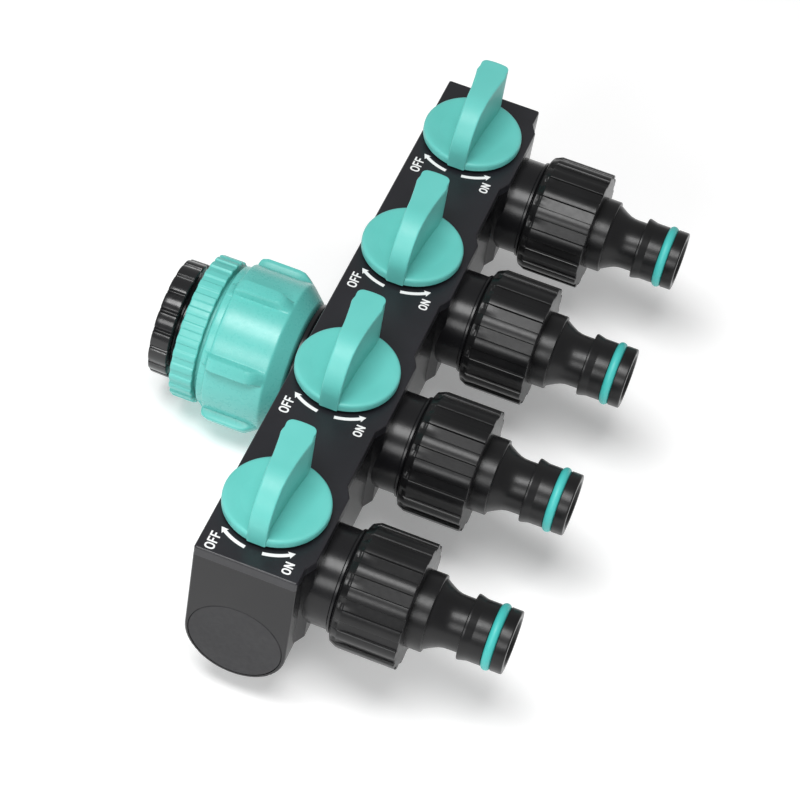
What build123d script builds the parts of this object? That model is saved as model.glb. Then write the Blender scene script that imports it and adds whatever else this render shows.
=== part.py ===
from build123d import *
import math
import os

# A four-way hose splitter: one inlet with a swivel nut and two reducers, a
# gallery that feeds four rotary valves, and four threaded outlets, each with a
# screw-on hose nipple.
#
# Frame, in millimetres: the origin is the centre of the inlet mouth.  +X runs
# from the inlet to the outlets, Y runs along the manifold, +Z is up, along the
# knob axes.  The gallery's axis lies INLET_RISE below the inlet's, and every
# height of the manifold, valves and outlets is given from the gallery's axis.

# ---------------------------------------------------------------- dimensions
OUTLETS = 4
PITCH = 47.4

BODY_LENGTH = 181.4
BODY_WIDTH = 26.5
BODY_X = 55.8
TOP_Z = 30.2
COVER_THICKNESS = 3.0
CORNER_RADIUS = 0.6
EDGE_RADIUS = 0.5
WALL = 2.0
OUTLET_Z = 12.9
INLET_RISE = 1.25

GALLERY_RADIUS = 10.2
GALLERY_END_WALL = 4.5
PLUG_RADIUS = 12.4
PLUG_DEPTH = 4.0
PLUG_GAP = 0.12

PAD_REACH = 1.7
PAD_HALF_BASE = 14.0
PAD_HALF_TOP = 10.8

# outlet side, distances from the body's centre plane
SPIGOT_RADIUS = 12.9
RING_START = 20.2
RING_END = 21.3
RING_RADIUS = 13.5
SPIGOT_END = 34.0
NUT_START = 21.6
NUT_CONE_END = 23.9
NUT_FLOOR = 36.0
NUT_END = 39.1
COLLAR_END = 43.5
WAIST_START = 48.5
RIDGE_X = 52.3
RIDGE_FOOT = 54.6
ORING_X = 59.4
TIP_X = 63.7

NUT_RADIUS = 16.3
NUT_MOUTH_RADIUS = 14.5
NUT_SHOULDER_RADIUS = 15.4
NUT_RIBS = 16
PANEL_START = 23.9
PANEL_WIDTH = 3.1
PANEL_DEPTH = 0.9
COLLAR_RADIUS = 10.0
WAIST_RADIUS = 6.95
RIDGE_RADIUS = 8.45
BARREL_RADIUS = 7.95
NOSE_RADIUS = 8.15
NIPPLE_BORE = 4.9
NIPPLE_LEAD_IN = 1.8
OUTLET_WASHER_BORE = 8.5
ORING_OUTER = 8.62
ORING_CORD = 1.25

# threads: radii of the plain stand-in cylinders that leave room for the ridges
G34_CORE = 12.06
G34_BORE = 13.25
G1_CORE = 15.1
G1_BORE = 16.66
G12_CREST = 9.3155
THREAD_LEAD = 0.6

# inlet side, distances from the inlet mouth
SMALL_FLANGE_END = 5.3
SMALL_FLANGE_RADIUS = 15.95
SMALL_FLUTES = 18
SMALL_FLUTE_PHASE = -0.7
SMALL_END = 15.5
SMALL_BORE = 7.0
TAP_SEAT = 10.0
LARGE_FLANGE_START = 7.7
LARGE_FLANGE_END = 14.0
LARGE_FLANGE_RADIUS = 19.8
LARGE_FLUTES = 30
LARGE_FLUTE_PHASE = 2.3
LARGE_NECK_RADIUS = 17.0
LARGE_NECK_END = 14.7
LARGE_SEAT = 17.5
LARGE_END = 28.0
SWIVEL_START = 15.0
SWIVEL_LIP_END = 17.2
SWIVEL_LIP_RADIUS = 19.2
SWIVEL_CONE_START = 33.0
SWIVEL_END = 37.4
SWIVEL_RADIUS = 20.5
SWIVEL_RIB_RADIUS = 23.0
SWIVEL_RIBS = 6
SWIVEL_RIB_HALF_WIDTH = 2.35
SWIVEL_RIB_PHASE = 3.5
SWIVEL_SHOULDER = 32.7
TAIL_FLANGE_START = 30.0
TAIL_FLANGE_END = 32.5
TAIL_FLANGE_RADIUS = 16.2
TAIL_RADIUS = 13.0
TAIL_BORE = 8.6
TAIL_END = 44.5
TAIL_SEAL_X = 41.9
TAIL_SEAL_CORD = 0.8
NECK_RING_START = 37.9
NECK_RING_END = 39.4
NECK_RING_RADIUS = 16.6
NECK_RADIUS = 15.2
WASHER_THICKNESS = 2.0
WASHER_GAP = 0.3
TAP_WASHER_BORE = 6.5

# valves
CORE_RADIUS = 9.0
CORE_BOTTOM = 4.0
CORE_TOP = 26.9
RUNNING_GAP = 0.08
CORE_CAVITY_RADIUS = 6.4
CORE_GROOVE_Z = 23.3
CORE_GROOVE_HALF_WIDTH = 0.95
CORE_GROOVE_DEPTH = 1.4
CORE_SEAL_CORD = 0.72
PORT_RADIUS = 6.0
STEM_RADIUS = 4.5
STEM_TOP = 31.4
TONGUE_WIDTH = 3.0
TONGUE_LENGTH = 7.0
TONGUE_TOP = 39.0
SEAT_OUTER = 8.3
SEAT_END = 12.6
BRANCH_RADIUS = 7.6

# knobs
KNOB_BOTTOM = 31.0
KNOB_THICKNESS = 2.7
KNOB_RADIUS = 13.4
DISH_RADIUS = 95.0
DISH_DEPTH = 0.6
HANDLE_TOP = 47.6
HANDLE_REACH = 13.6
HANDLE_BEND = 12.0
HANDLE_HEEL_Y = -13.9
HANDLE_TIP_CORNER = 1.2
HANDLE_NOTCH_Y = 9.7
HANDLE_LIP = 1.3
HANDLE_RECESS = 0.5
# distance along the bar from the knob's axis, half width of the crest there
HANDLE_PLAN = [(-13.9, 2.5), (-7.0, 2.65), (-2.0, 2.95), (1.6, 3.15), (4.2, 3.45), (7.0, 3.8), (9.6, 4.3)]

COVER_BOTTOM = TOP_Z - COVER_THICKNESS
HALF_WIDTH = BODY_WIDTH / 2
OUTLET_YS = [(OUTLETS - 1) / 2 * PITCH - PITCH * i for i in range(OUTLETS)]
PANEL_PHASES = [12.2, 3.8, 20.4, 12.9]


# ------------------------------------------------------------------- helpers
def rod_x(start, end, radius):
    """A round bar along X, between two distances from the inlet mouth."""
    return Pos((start + end) / 2, 0, 0) * Rot(0, 90, 0) * Cylinder(radius, end - start)


def rod_z(bottom, top, radius):
    """A round bar along Z."""
    return Pos(0, 0, (bottom + top) / 2) * Cylinder(radius, top - bottom)


def ring_x(start, end, inner, outer):
    """A flat ring round the X axis."""
    return rod_x(start, end, outer) - rod_x(start - 1, end + 1, inner)


def turned(points):
    """A solid turned about X from a closed outline of (x, radius) points."""
    outline = Polyline([(x, r, 0) for x, r in points], close=True)
    return revolve(make_face(outline), axis=Axis.X)


def around_x(piece, count, phase=0.0):
    """Copies of a piece spaced evenly round the X axis."""
    return [Rot(phase + 360 / count * i, 0, 0) * piece for i in range(count)]


def cord_ring(x, outer, cord):
    """An O-ring round the X axis: outer radius and cord radius."""
    section = Pos(x, outer - cord, 0) * Circle(cord)
    return revolve(section, axis=Axis.X)


def write(name, piece):
    """Write one node's STEP file."""
    export_step(piece, f"parts/{name}.step")


def write_low(name, piece):
    """Write a node whose heights are given from the gallery's axis."""
    write(name, Pos(0, 0, -INLET_RISE) * piece)


# ------------------------------------------------------------------- housing
def body_section(width, bottom_radius, top):
    """The body's upright D section: straight sides on a half-round bottom."""
    half = width / 2
    sides = Polyline([(-half, 0), (-half, top), (half, top), (half, 0)])
    bottom = ThreePointArc((half, 0), (0, -bottom_radius), (-half, 0))
    return make_face(sides + bottom)


def outlet_pad(y, bottom, top):
    """The raised pad behind one outlet, with slanted ends in plan."""
    face = HALF_WIDTH + BODY_X
    plan = [
        (face - WALL, y - PAD_HALF_BASE),
        (face, y - PAD_HALF_BASE),
        (face + PAD_REACH, y - PAD_HALF_TOP),
        (face + PAD_REACH, y + PAD_HALF_TOP),
        (face, y + PAD_HALF_BASE),
        (face - WALL, y + PAD_HALF_BASE),
    ]
    outline = make_face(Polyline(plan, close=True))
    return Pos(0, 0, bottom) * extrude(outline, top - bottom)


def spigot():
    """One outlet spigot: plain root, thin ring, then the thread's core."""
    x = BODY_X
    return turned([
        (x + 6, 0),
        (x + 6, SPIGOT_RADIUS),
        (x + RING_START, SPIGOT_RADIUS),
        (x + RING_START, RING_RADIUS - 0.3),
        (x + RING_START + 0.3, RING_RADIUS),
        (x + RING_END - 0.3, RING_RADIUS),
        (x + RING_END, RING_RADIUS - 0.3),
        (x + RING_END, G34_CORE),
        (x + SPIGOT_END - THREAD_LEAD, G34_CORE),
        (x + SPIGOT_END, G34_CORE - THREAD_LEAD),
        (x + SPIGOT_END, 0),
    ])


def inlet_neck():
    """The inlet boss on the body's back, with its end ring."""
    root = HALF_WIDTH - 1
    return Pos(0, 0, INLET_RISE) * turned([
        (NECK_RING_START, 0),
        (NECK_RING_START, NECK_RING_RADIUS - 0.3),
        (NECK_RING_START + 0.3, NECK_RING_RADIUS),
        (NECK_RING_END - 0.3, NECK_RING_RADIUS),
        (NECK_RING_END, NECK_RING_RADIUS - 0.3),
        (NECK_RING_END, NECK_RADIUS),
        (BODY_X - root, NECK_RADIUS),
        (BODY_X - root, root - INLET_RISE),
        (BODY_X, root - INLET_RISE),
        (BODY_X, 0),
    ])


def body_pockets():
    """The hollows beside the valve towers, open at the top."""
    floor = INLET_RISE + TAIL_RADIUS + WALL
    height = COVER_BOTTOM - floor
    width = BODY_WIDTH - 2 * WALL
    tower = CORE_RADIUS + WALL + 1.0
    edges = [BODY_LENGTH / 2 - WALL]
    for y in OUTLET_YS:
        edges += [y + tower, y - tower]
    edges.append(-BODY_LENGTH / 2 + PLUG_DEPTH + 4)
    pockets = []
    for high, low in zip(edges[0::2], edges[1::2]):
        if high - low > 3:
            block = Box(width, high - low, height)
            pockets.append(Pos(BODY_X, (high + low) / 2, floor + height / 2) * block)
    return pockets


def manifold_housing():
    """Gallery, valve chambers, outlet spigots and inlet neck in one moulding."""
    section = body_section(BODY_WIDTH, HALF_WIDTH, COVER_BOTTOM)
    slab = extrude(Plane.XZ * section, BODY_LENGTH / 2, both=True)
    ends = slab.faces().filter_by(Axis.Y)
    end_edges = [e for f in ends for e in f.edges() if e.center().Z < COVER_BOTTOM - 0.5]
    housing = Pos(BODY_X, 0, 0) * fillet(end_edges, EDGE_RADIUS)
    for y in OUTLET_YS:
        housing += outlet_pad(y, 0, COVER_BOTTOM)
        housing += Pos(0, y, OUTLET_Z) * spigot()
    housing += inlet_neck()
    for pocket in body_pockets():
        housing -= pocket
    start = -BODY_LENGTH / 2
    end = BODY_LENGTH / 2 - GALLERY_END_WALL
    gallery = Pos(BODY_X, (start + end) / 2, 0) * Rot(90, 0, 0) * Cylinder(GALLERY_RADIUS, end - start)
    counterbore = Pos(BODY_X, start, 0) * Rot(90, 0, 0) * Cylinder(PLUG_RADIUS, 2 * PLUG_DEPTH)
    housing -= gallery
    housing -= counterbore
    housing -= Pos(0, 0, INLET_RISE) * rod_x(NECK_RING_START - 1, TAIL_END, TAIL_RADIUS + 0.02)
    housing -= Pos(0, 0, INLET_RISE) * rod_x(TAIL_END - 1, BODY_X, TAIL_BORE)
    for y in OUTLET_YS:
        housing -= Pos(BODY_X, y, 0) * rod_z(0, COVER_BOTTOM + 1, CORE_RADIUS + RUNNING_GAP)
        seat = Pos(0, y, OUTLET_Z) * rod_x(BODY_X, BODY_X + SEAT_END, SEAT_OUTER + 0.02)
        branch = Pos(0, y, OUTLET_Z) * rod_x(BODY_X, BODY_X + SPIGOT_END + 1, BRANCH_RADIUS)
        housing -= seat
        housing -= branch
    return housing


def top_cover():
    """The flat lid over the housing, with a tab at each outlet."""
    blank = Pos(BODY_X, 0, COVER_BOTTOM + COVER_THICKNESS / 2) * Box(BODY_WIDTH, BODY_LENGTH, COVER_THICKNESS)
    blank = fillet(blank.edges().filter_by(Axis.Z), CORNER_RADIUS)
    for y in OUTLET_YS:
        blank += outlet_pad(y, COVER_BOTTOM, TOP_Z)
    rim = blank.faces().sort_by(Axis.Z)[-1].edges()
    cover = fillet(rim, EDGE_RADIUS)
    for y in OUTLET_YS:
        cover -= Pos(BODY_X, y, 0) * rod_z(COVER_BOTTOM - 1, TOP_Z + 1, STEM_RADIUS + 0.3)
    return cover


def end_plug():
    """The stepped disc that closes the gallery where its core was pulled."""
    disc = Cylinder(PLUG_RADIUS - PLUG_GAP, PLUG_DEPTH)
    disc = fillet(disc.edges().sort_by(Axis.Z)[-1], 0.25)
    boss = Pos(0, 0, -PLUG_DEPTH / 2 - 2.5) * Cylinder(GALLERY_RADIUS - 0.05, 5)
    hollow = Pos(0, 0, -PLUG_DEPTH / 2 - 3) * Cylinder(GALLERY_RADIUS - WALL, 4.1)
    plug = disc + boss - hollow
    return Pos(BODY_X, -BODY_LENGTH / 2 + PLUG_DEPTH / 2, 0) * Rot(90, 0, 0) * plug


# --------------------------------------------------------------------- valve
def valve_core():
    """A barrel fed from below, with one side port and a square stem."""
    core = rod_z(CORE_BOTTOM, CORE_TOP, CORE_RADIUS)
    core -= rod_z(CORE_BOTTOM - 1, OUTLET_Z + PORT_RADIUS + 0.6, CORE_CAVITY_RADIUS)
    port = Pos(0, -CORE_RADIUS / 2 - 1, OUTLET_Z) * Rot(90, 0, 0) * Cylinder(PORT_RADIUS, CORE_RADIUS + 2)
    core -= port
    low = CORE_GROOVE_Z - CORE_GROOVE_HALF_WIDTH
    high = CORE_GROOVE_Z + CORE_GROOVE_HALF_WIDTH
    groove = rod_z(low, high, CORE_RADIUS + 1)
    groove -= rod_z(low - 1, high + 1, CORE_RADIUS - CORE_GROOVE_DEPTH)
    core -= groove
    core += rod_z(CORE_TOP, STEM_TOP, STEM_RADIUS)
    tongue_height = TONGUE_TOP - STEM_TOP
    tongue = Pos(0, 0, STEM_TOP + tongue_height / 2) * Box(TONGUE_WIDTH, TONGUE_LENGTH, tongue_height)
    core += tongue
    return core


def core_seal():
    """The O-ring in the barrel's groove."""
    middle = CORE_RADIUS + RUNNING_GAP / 2 - CORE_SEAL_CORD
    section = Pos(middle, CORE_GROOVE_Z, 0) * Circle(CORE_SEAL_CORD)
    return revolve(Plane.XZ * section, axis=Axis.Z)


def port_seal():
    """The rubber ring that the barrel wipes, set in the outlet branch."""
    ring = ring_x(4, SEAT_END, PORT_RADIUS, SEAT_OUTER)
    ring -= rod_z(-20, 20, CORE_RADIUS + 0.05)
    return Pos(BODY_X, 0, OUTLET_Z) * ring


def handle_outline(inset, far_y):
    """The finger bar's outline in plan: narrow at the heel, wide at the tip."""
    right = [(half - inset, y) for y, half in HANDLE_PLAN if y < far_y]
    right.append((right[-1][0], far_y))
    left = [(-x, y) for x, y in reversed(right)]
    return make_face(Polyline(right + left, close=True))


def handle_profile(inset):
    """The bar seen from the side: upright heel, long round corner, level crest."""
    low = KNOB_BOTTOM
    high = HANDLE_TOP - inset
    bend = HANDLE_BEND - inset
    heel = HANDLE_HEEL_Y + inset
    front = Line((heel, low), (heel, high - bend))
    corner = ThreePointArc(
        (heel, high - bend),
        (heel + bend * (1 - math.sqrt(0.5)), high - bend * (1 - math.sqrt(0.5))),
        (heel + bend, high),
    )
    reach = HANDLE_REACH + 1
    rest = Polyline([(heel + bend, high), (reach, high), (reach, low), (heel, low)])
    return Plane.YZ * make_face(front + corner + rest)


def handle():
    """The bar: a lip along its crest, recessed flanks, a tip rounded in plan."""
    height = HANDLE_TOP - KNOB_BOTTOM
    side = extrude(handle_profile(0), KNOB_RADIUS, both=True)
    under_lip = extrude(handle_profile(HANDLE_LIP), KNOB_RADIUS, both=True)
    heel_half = Box(KNOB_RADIUS, 2 * HANDLE_REACH, height)
    limit = rod_z(0, height, HANDLE_REACH) + Pos(0, -HANDLE_REACH, height / 2) * heel_half
    flank = extrude(handle_outline(HANDLE_RECESS, HANDLE_REACH + 1), height) & limit
    flank = fillet(flank.edges().filter_by(Axis.Z).sort_by(Axis.Y)[-2:], HANDLE_TIP_CORNER)
    crest = extrude(handle_outline(0, HANDLE_NOTCH_Y), height)
    lip = (Pos(0, 0, KNOB_BOTTOM) * crest & side) - under_lip
    return (Pos(0, 0, KNOB_BOTTOM) * flank & side) + lip


def control_knob():
    """A round dished disc with an upright finger bar along Y."""
    deck = KNOB_BOTTOM + KNOB_THICKNESS
    disc = rod_z(KNOB_BOTTOM, deck, KNOB_RADIUS)
    disc = fillet(disc.edges().sort_by(Axis.Z)[-1], 1.1)
    disc = fillet(disc.edges().sort_by(Axis.Z)[0], 0.5)
    disc -= Pos(0, 0, deck + DISH_RADIUS - DISH_DEPTH) * Sphere(DISH_RADIUS)
    knob = disc + handle()
    knob -= rod_z(KNOB_BOTTOM - 1, STEM_TOP + 0.1, STEM_RADIUS + 0.05)
    socket_height = TONGUE_TOP + 0.1 - KNOB_BOTTOM
    socket = Box(TONGUE_WIDTH + 0.06, TONGUE_LENGTH + 0.06, socket_height)
    knob -= Pos(0, 0, KNOB_BOTTOM + socket_height / 2) * socket
    return knob


# ------------------------------------------------------------ outlet adapter
def outlet_adapter(phase):
    """Ribbed nut and hose nipple in one moulding."""
    x = BODY_X
    groove = ORING_CORD + 0.05
    blank = turned([
        (x + NUT_START, G34_BORE + 0.3),
        (x + NUT_START, NUT_MOUTH_RADIUS),
        (x + NUT_START + 0.4, NUT_SHOULDER_RADIUS),
        (x + NUT_CONE_END, NUT_RADIUS),
        (x + NUT_END - 0.25, NUT_RADIUS),
        (x + NUT_END, NUT_RADIUS - 0.25),
        (x + NUT_END, COLLAR_RADIUS),
        (x + COLLAR_END - 0.2, COLLAR_RADIUS),
        (x + COLLAR_END, COLLAR_RADIUS - 0.2),
        (x + COLLAR_END, COLLAR_RADIUS - 0.9),
        (x + COLLAR_END + 1.6, 8.25),
        (x + COLLAR_END + 3.2, 7.45),
        (x + WAIST_START, WAIST_RADIUS),
        (x + RIDGE_X - 0.35, WAIST_RADIUS),
        (x + RIDGE_X - 0.1, RIDGE_RADIUS),
        (x + RIDGE_X + 0.3, RIDGE_RADIUS),
        (x + RIDGE_FOOT, BARREL_RADIUS),
        (x + ORING_X - groove, BARREL_RADIUS),
        (x + ORING_X - groove, ORING_OUTER - 2 * ORING_CORD),
        (x + ORING_X + groove, ORING_OUTER - 2 * ORING_CORD),
        (x + ORING_X + groove, NOSE_RADIUS),
        (x + TIP_X - 0.4, NOSE_RADIUS),
        (x + TIP_X, NOSE_RADIUS - 0.4),
        (x + TIP_X, NIPPLE_BORE + 1.6),
        (x + TIP_X - NIPPLE_LEAD_IN, NIPPLE_BORE),
        (x + NUT_FLOOR, NIPPLE_BORE),
        (x + NUT_FLOOR, G34_BORE),
        (x + NUT_START + 0.3, G34_BORE),
    ])
    length = NUT_END - PANEL_START
    panel = Box(length, PANEL_WIDTH, 2 * PANEL_DEPTH)
    panel = Pos(x + PANEL_START + length / 2, 0, NUT_RADIUS) * panel
    return blank - around_x(panel, NUT_RIBS, phase)


# --------------------------------------------------------------------- inlet
def fluted_rim(start, end, radius, count, phase, depth, cutter):
    """A grip ring with shallow round flutes cut across its edge."""
    rim = rod_x(start, end, radius)
    rim = chamfer(rim.edges(), 0.4)
    flute = Pos(0, 0, radius - depth + cutter) * rod_x(start - 1, end + 1, cutter)
    return rim - around_x(flute, count, phase)


def swivel_rib():
    """One raised grip rib on the swivel nut, sloped at both ends."""
    start = SWIVEL_LIP_END
    outline = [
        (start, 18.0),
        (start, SWIVEL_RIB_RADIUS - 1.4),
        (start + 1.4, SWIVEL_RIB_RADIUS),
        (start + 13.0, SWIVEL_RIB_RADIUS),
        (start + 17.6, SWIVEL_RADIUS - 1.2),
        (start + 17.6, 18.0),
    ]
    profile = make_face(Polyline([(x, 0, r) for x, r in outline], close=True))
    rib = extrude(profile, SWIVEL_RIB_HALF_WIDTH, dir=(0, 1, 0), both=True)
    crest = rib.edges().filter_by(lambda e: e.center().Z > SWIVEL_RADIUS + 0.2)
    lengthwise = [e for e in crest if abs(e.center().Y) > 1.0]
    return fillet(lengthwise, 0.9)


def swivel_nut():
    """The captive inlet nut with six grip ribs."""
    shell = turned([
        (SWIVEL_START, G1_BORE + 0.5),
        (SWIVEL_START, SWIVEL_LIP_RADIUS - 0.7),
        (SWIVEL_START + 0.7, SWIVEL_LIP_RADIUS),
        (SWIVEL_LIP_END, SWIVEL_LIP_RADIUS),
        (SWIVEL_LIP_END + 0.8, SWIVEL_RADIUS),
        (SWIVEL_CONE_START, SWIVEL_RADIUS),
        (SWIVEL_END - 0.5, 17.2),
        (SWIVEL_END, 16.6),
        (SWIVEL_END, TAIL_RADIUS + 0.3),
        (SWIVEL_SHOULDER, TAIL_RADIUS + 0.3),
        (SWIVEL_SHOULDER, G1_BORE),
        (SWIVEL_START + 0.5, G1_BORE),
    ])
    for rib in around_x(swivel_rib(), SWIVEL_RIBS, SWIVEL_RIB_PHASE):
        shell += rib
    return shell


def inlet_tail():
    """The flanged tube that holds the swivel nut on the housing."""
    tail = turned([
        (TAIL_FLANGE_START, TAIL_BORE),
        (TAIL_FLANGE_START, TAIL_FLANGE_RADIUS - 0.4),
        (TAIL_FLANGE_START + 0.4, TAIL_FLANGE_RADIUS),
        (TAIL_FLANGE_END, TAIL_FLANGE_RADIUS),
        (TAIL_FLANGE_END, TAIL_RADIUS),
        (TAIL_END, TAIL_RADIUS),
        (TAIL_END, TAIL_BORE),
    ])
    groove = ring_x(TAIL_SEAL_X - 1.0, TAIL_SEAL_X + 1.0, TAIL_RADIUS - 2 * TAIL_SEAL_CORD, TAIL_RADIUS + 1)
    return tail - groove


def large_reducer():
    """Knurled reducer: outside thread for the swivel nut, inside for the next."""
    body = turned([
        (LARGE_FLANGE_END - 1, G34_BORE),
        (LARGE_FLANGE_END - 1, LARGE_NECK_RADIUS),
        (LARGE_NECK_END - 0.3, LARGE_NECK_RADIUS),
        (LARGE_NECK_END, LARGE_NECK_RADIUS - 0.3),
        (LARGE_NECK_END, G1_CORE),
        (LARGE_END - THREAD_LEAD, G1_CORE),
        (LARGE_END, G1_CORE - THREAD_LEAD),
        (LARGE_END, TAIL_BORE),
        (LARGE_SEAT, TAIL_BORE),
        (LARGE_SEAT, G34_BORE),
    ])
    rim = fluted_rim(
        LARGE_FLANGE_START, LARGE_FLANGE_END, LARGE_FLANGE_RADIUS, LARGE_FLUTES, LARGE_FLUTE_PHASE, 0.5, 1.3
    )
    return body + (rim - rod_x(0, LARGE_END, G34_BORE))


def small_reducer():
    """Scalloped reducer whose mouth takes the tap's half-inch thread."""
    bore = G12_CREST
    seat = TAP_SEAT + WASHER_THICKNESS
    body = turned([
        (SMALL_FLANGE_END - 1, bore),
        (SMALL_FLANGE_END - 1, G34_CORE),
        (SMALL_END - THREAD_LEAD, G34_CORE),
        (SMALL_END, G34_CORE - THREAD_LEAD),
        (SMALL_END, SMALL_BORE),
        (seat, SMALL_BORE),
        (seat, bore + 0.7),
        (TAP_SEAT, bore + 0.7),
        (TAP_SEAT, bore),
    ])
    rim = fluted_rim(0, SMALL_FLANGE_END, SMALL_FLANGE_RADIUS, SMALL_FLUTES, SMALL_FLUTE_PHASE, 0.7, 2.2)
    return body + (rim - rod_x(-1, TAP_SEAT, bore))


# --------------------------------------------------------------------- write
os.makedirs("parts", exist_ok=True)
write_low("manifold_housing", manifold_housing())
write_low("top_cover", top_cover())
write_low("end_plug", end_plug())
for number, (y, phase) in enumerate(zip(OUTLET_YS, PANEL_PHASES), 1):
    on_valve = Pos(BODY_X, y, 0)
    on_outlet = Pos(0, y, OUTLET_Z)
    washer = ring_x(BODY_X + SPIGOT_END, BODY_X + NUT_FLOOR, OUTLET_WASHER_BORE, G34_BORE - WASHER_GAP)
    o_ring = cord_ring(BODY_X + ORING_X, ORING_OUTER, ORING_CORD)
    write_low(f"control_knob_{number}", on_valve * control_knob())
    write_low(f"valve_core_{number}", on_valve * valve_core())
    write_low(f"core_seal_{number}", on_valve * core_seal())
    write_low(f"port_seal_{number}", Pos(0, y, 0) * port_seal())
    write_low(f"outlet_adapter_{number}", on_outlet * outlet_adapter(phase))
    write_low(f"outlet_washer_{number}", on_outlet * washer)
    write_low(f"nipple_o_ring_{number}", on_outlet * o_ring)
write("swivel_nut", swivel_nut())
write("inlet_tail", inlet_tail())
write("tail_seal", cord_ring(TAIL_SEAL_X, TAIL_RADIUS, TAIL_SEAL_CORD))
write("swivel_washer", ring_x(LARGE_END, TAIL_FLANGE_START, TAIL_BORE, G1_BORE - WASHER_GAP))
write("large_reducer", large_reducer())
write("large_reducer_washer", ring_x(SMALL_END, LARGE_SEAT, TAIL_BORE, G34_BORE - WASHER_GAP))
write("small_reducer", small_reducer())
write("tap_washer", ring_x(TAP_SEAT, TAP_SEAT + WASHER_THICKNESS, TAP_WASHER_BORE, G12_CREST + 0.62))
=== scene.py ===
import math

import bmesh
import bpy
import numpy as np
from mathutils import Matrix, Vector


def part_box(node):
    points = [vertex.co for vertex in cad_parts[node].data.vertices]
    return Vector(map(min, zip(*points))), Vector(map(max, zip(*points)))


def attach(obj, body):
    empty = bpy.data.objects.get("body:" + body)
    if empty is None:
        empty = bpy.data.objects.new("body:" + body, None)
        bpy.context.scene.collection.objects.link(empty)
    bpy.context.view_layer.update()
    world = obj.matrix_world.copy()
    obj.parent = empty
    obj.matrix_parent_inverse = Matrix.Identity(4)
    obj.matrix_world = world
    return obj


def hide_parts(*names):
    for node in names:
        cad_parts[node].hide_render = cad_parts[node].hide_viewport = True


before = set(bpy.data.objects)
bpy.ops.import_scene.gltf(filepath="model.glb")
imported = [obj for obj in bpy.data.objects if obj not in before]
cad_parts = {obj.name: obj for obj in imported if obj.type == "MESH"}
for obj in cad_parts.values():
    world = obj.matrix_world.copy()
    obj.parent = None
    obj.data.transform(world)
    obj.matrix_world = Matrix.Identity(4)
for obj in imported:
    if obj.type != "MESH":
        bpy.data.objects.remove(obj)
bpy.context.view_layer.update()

MM = 0.001
NUMBERS = (1, 2, 3, 4)


def centre_of(node):
    """The middle of a CAD node's box, in millimetres."""
    low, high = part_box(node)
    return [(a + b) / 2 / MM for a, b in zip(low, high)]


# ------------------------------------------------- places taken from the frame
BODY_X = centre_of("valve_core_1")[0]
VALVE_Y = {n: centre_of(f"valve_core_{n}")[1] for n in NUMBERS}
OUTLET_Z = centre_of("nipple_o_ring_1")[2]
GALLERY_Z = centre_of("end_plug")[2]
COVER_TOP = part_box("top_cover")[1].z / MM
KNOB_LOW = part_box("control_knob_1")[0].z / MM
KNOB_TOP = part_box("control_knob_1")[1].z / MM
KNOB_RADIUS = (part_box("control_knob_1")[1].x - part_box("control_knob_1")[0].x) / 2 / MM

# Pipe threads: pitch, depth, and the radius the outside ridges stand on, in mm.
G34_PITCH = 1.814
G34_DEPTH = 1.02
G34_ROOT = 12.1
G1_PITCH = 2.309
G1_DEPTH = 1.35
G1_ROOT = 15.1
G12_DEPTH = 1.0


# ------------------------------------------------------------------- materials
TONE_SCALE = 60  # cells per metre
GLOSS_SCALE = 900
GRAIN_SCALE = 3200
GRAIN_DEPTH = 0.0002  # metres
NOISE_MIDDLE = (0.3, 0.7)
TONE_STOPS = (0.35, 0.65)
GLOW_RADIUS = (0.6, 1.0, 0.9)
GLOW_SCALE = 0.0012  # metres


def node_graph(name):
    """A new material, its node tree and its shader."""
    material = bpy.data.materials.new(name)
    material.use_nodes = True
    tree = material.node_tree
    shader = tree.nodes["Principled BSDF"]
    return material, tree, shader


def noise(tree, scale, detail=2.0):
    """A noise texture in object space, at a scale in cells per metre."""
    place = tree.nodes.new("ShaderNodeTexCoord")
    texture = tree.nodes.new("ShaderNodeTexNoise")
    texture.inputs["Scale"].default_value = scale
    texture.inputs["Detail"].default_value = detail
    tree.links.new(place.outputs["Object"], texture.inputs["Vector"])
    return texture.outputs["Fac"]


def remap(tree, value, low, high):
    """The value stretched from its middle range to low..high."""
    node = tree.nodes.new("ShaderNodeMapRange")
    node.inputs["From Min"].default_value = NOISE_MIDDLE[0]
    node.inputs["From Max"].default_value = NOISE_MIDDLE[1]
    node.inputs["To Min"].default_value = low
    node.inputs["To Max"].default_value = high
    tree.links.new(value, node.inputs["Value"])
    return node.outputs["Result"]


def two_tone(tree, value, dark, light):
    """A colour that drifts between two close tones."""
    ramp = tree.nodes.new("ShaderNodeValToRGB")
    for stop, position, tone in zip(ramp.color_ramp.elements, TONE_STOPS, (dark, light)):
        stop.position = position
        stop.color = (*tone, 1)
    tree.links.new(value, ramp.inputs["Fac"])
    return ramp.outputs["Color"]


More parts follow.
